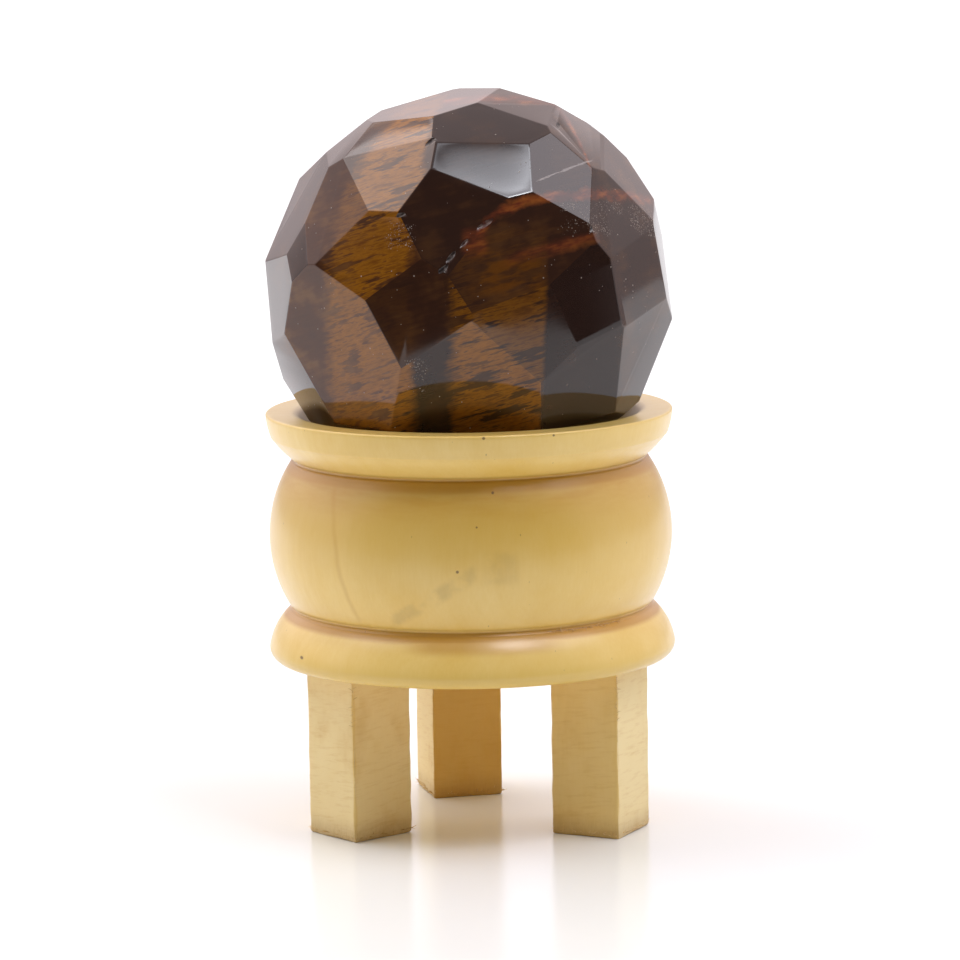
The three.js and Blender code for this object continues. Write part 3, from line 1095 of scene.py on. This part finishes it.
class SPHERE_OT_fibres(bpy.types.Operator):
    """Raise the torn fibres along the feet's edges and the low groove"""

    bl_idname = "sphere.fibres"
    bl_label = "Torn fibres"

    def execute(self, context):
        settings = context.scene.sphere_wood
        plan = bpy.data.meshes.new("fibre_plan")
        chains = fibre_chains()
        places = [point for chain in chains for point, _ in chain]
        ways = [part for chain in chains for _, way in chain for part in way]
        edges, first = [], 0
        for chain in chains:
            edges += [(first + i, first + i + 1) for i in range(len(chain) - 1)]
            first += len(chain)
        plan.from_pydata(places, edges, [])
        plan.attributes.new("away", "FLOAT_VECTOR", "POINT").data.foreach_set("vector", ways)
        fibres = hair().made_from(
            plan, "torn_fibres", Spacing=settings.fibre_spacing, Fibre_length=settings.fibre_length,
            Fibre_width=settings.fibre_width, Seed=11, Material=torn_fibre(),
        )
        stands_for(fibres, "sawn_wood")
        return {"FINISHED"}


# ---------------------------------------------------------------- the studio

# Soft lights: turn and tilt of where each hangs, distance, width, height, brightness and colour.
LIGHTS = {
    "left_softbox": (159, 58, 1.0, 0.80, 0.46, 4.9, (1.0, 0.96, 0.96)),
    "right_softbox": (352, 54, 1.0, 0.52, 0.44, 5.4, (0.96, 0.92, 1.0)),
    "front_lamp": (303, 64.5, 0.9, 0.055, 0.055, 60.0, (1.0, 1.0, 1.0)),
}
AIM = Vector((0.0, 0.0, 0.05))
FLOOR_REACH = 1.3
BACKDROP_BRIGHTNESS = 1.3

# A bright gap high in the tent: which way it lies, its brightness, and where its soft edge starts and
# ends, as cosines of the angle from its middle.
GAP_WAY, GAP_BRIGHTNESS, GAP_RIM, GAP_MIDDLE = direction(313, 64), 13.5, 0.966, 0.9990


def studio_surroundings(settings):
    """White tent all round, dark on the side that the camera stands on, with one bright gap."""
    world = bpy.context.scene.world or bpy.data.worlds.new("studio")
    bpy.context.scene.world = world
    shader = Shader(world)
    way = shader.node("ShaderNodeTexCoord", output="Generated")
    across, depth, up = shader.parts(way)
    front = (-1.0 * depth).rise(0.12, 0.5) * up.rise(0.93, 0.80)
    back_left = (0.6 * depth - 0.5 * across).rise(0.1, 0.6)
    tent = (0.55 + 0.25 * up.rise(-0.1, 0.2) + (0.1 + 0.5 * back_left) * up.rise(0.1, 0.35))
    mirrored = shader.node("ShaderNodeLightPath", output="Is Glossy Ray")
    tent = tent * (1.0 - (0.80 + 0.15 * mirrored) * front) * (1.18 - 0.18 * mirrored)
    gap = shader.vector_maths("DOT_PRODUCT", way, tuple(GAP_WAY), "Value").rise(GAP_RIM, GAP_MIDDLE)
    seen = shader.node("ShaderNodeLightPath", output="Is Camera Ray")
    strength = tent * settings.tent + GAP_BRIGHTNESS * (0.5 + 0.5 * mirrored) * gap * gap * gap
    strength = strength.most(seen * BACKDROP_BRIGHTNESS)
    tint = shader.mix(mirrored, (1.0, 1.0, 1.0), (1.0, 0.87, 0.885))
    tint = shader.mix(gap.rise(0.0, 0.3), tint, (0.90, 0.92, 1.0))
    background = shader.node("ShaderNodeBackground", None, {"Color": tint, "Strength": strength})
    shader.node("ShaderNodeOutputWorld", None, {"Surface": background})


def hang_light(name, turn, tilt, distance, width, height, brightness, colour):
    """Hangs a soft light over the stand, out of the camera's sight; its power grows with its size."""
    light = bpy.data.lights.new(name, "AREA")
    light.shape = "RECTANGLE"
    light.size, light.size_y = width, height
    light.energy = brightness * 0.5 * math.pi * width * height
    light.color = colour
    hung = placed(name, light)
    hung.location = AIM + direction(turn, tilt) * distance
    hung.rotation_euler = (AIM - hung.location).to_track_quat("-Z", "Y").to_euler()
    hung.visible_camera = False


def floor_finish(tone):
    """Smooth pale card that glows more and more away from the stand, as under a lit tent."""
    shader = new_shader("floor")
    place = shader.coordinates((0.0, 0.0, 0.0))
    grain = shader.noise(place, 0.06, 3.0, 0.6)
    reach = shader.vector_maths("LENGTH", place, output="Value")
    glow = shader.mix(reach.rise(35.0, 420.0), (0.0, 0.0, 0.0), (0.92, 0.97, 1.0))
    return shader.finish(
        Base_Color=tuple(tone), Roughness=0.16 + 0.06 * grain, IOR=1.45,
        Emission_Color=glow, Emission_Strength=0.27,
    )


class SPHERE_OT_stage(bpy.types.Operator):
    """Lay the floor, hang the lights and place the camera"""

    bl_idname = "sphere.stage"
    bl_label = "Studio"

    def execute(self, context):
        settings = context.scene.sphere_studio
        context.scene.view_settings.view_transform = "Standard"
        form = bmesh.new()
        side = FLOOR_REACH
        corners = [(-side, -settings.apron), (side, -settings.apron), (side, side), (-side, side)]
        form.faces.new([form.verts.new((x, y, 0.0)) for x, y in corners])
        floor = placed("studio_floor", mesh_from(form, "studio_floor", floor_finish(settings.floor)))
        studio_surroundings(settings)
        for name, values in LIGHTS.items():
            hang_light(name, *values)
        self.place_camera(context, settings)
        return {"FINISHED"}

    def place_camera(self, context, settings):
        yaw = math.radians(0.13)
        pitch, roll = settings.pitch, settings.roll
        ahead = Vector((
            math.sin(yaw) * math.cos(pitch), math.cos(yaw) * math.cos(pitch), -math.sin(pitch)
        ))
        right = Vector((math.cos(yaw), -math.sin(yaw), 0.0))
        above = right.cross(ahead)
        rolled_right = right * math.cos(roll) + above * math.sin(roll)
        rolled_up = above * math.cos(roll) - right * math.sin(roll)
        lens = bpy.data.cameras.new("camera")
        lens.lens, lens.sensor_width = settings.lens, 36.0
        lens.clip_start, lens.clip_end = 0.01, 20.0
        camera = placed("camera", lens)
        turned = Matrix((rolled_right, rolled_up, -ahead)).transposed().to_4x4()
        camera.matrix_world = Matrix.Translation((0.0, -settings.distance, settings.height)) @ turned
        context.scene.camera = camera


# ---------------------------------------------------------------- the add-on


class SPHERE_PT_panel(bpy.types.Panel):
    """Lists the sphere's makers and their settings"""

    bl_idname = "SPHERE_PT_panel"
    bl_label = "Decorative sphere"
    bl_space_type = "VIEW_3D"
    bl_region_type = "UI"
    bl_category = "Sphere"

    def draw(self, context):
        for group in SETTINGS:
            holder = getattr(context.scene, group)
            box = self.layout.box()
            for name in holder.bl_rna.properties.keys():
                if name not in ("rna_type", "name"):
                    box.prop(holder, name)
        for maker in MAKERS:
            self.layout.operator(maker.bl_idname)


SETTINGS = {
    "sphere_stone": StoneSettings,
    "sphere_wood": WoodSettings,
    "sphere_studio": StudioSettings,
}
MAKERS = (SPHERE_OT_ball, SPHERE_OT_body, SPHERE_OT_feet, SPHERE_OT_fibres, SPHERE_OT_stage)


def register():
    for kind in (*SETTINGS.values(), *MAKERS, SPHERE_PT_panel):
        bpy.utils.register_class(kind)
    for name, kind in SETTINGS.items():
        setattr(bpy.types.Scene, name, bpy.props.PointerProperty(type=kind))


def unregister():
    for name in SETTINGS:
        delattr(bpy.types.Scene, name)
    for kind in (SPHERE_PT_panel, *reversed(MAKERS), *SETTINGS.values()):
        bpy.utils.unregister_class(kind)


def main():
    register()
    for maker in MAKERS:
        group, action = maker.bl_idname.split(".")
        getattr(getattr(bpy.ops, group), action)()


if __name__ == "__main__":
    main()
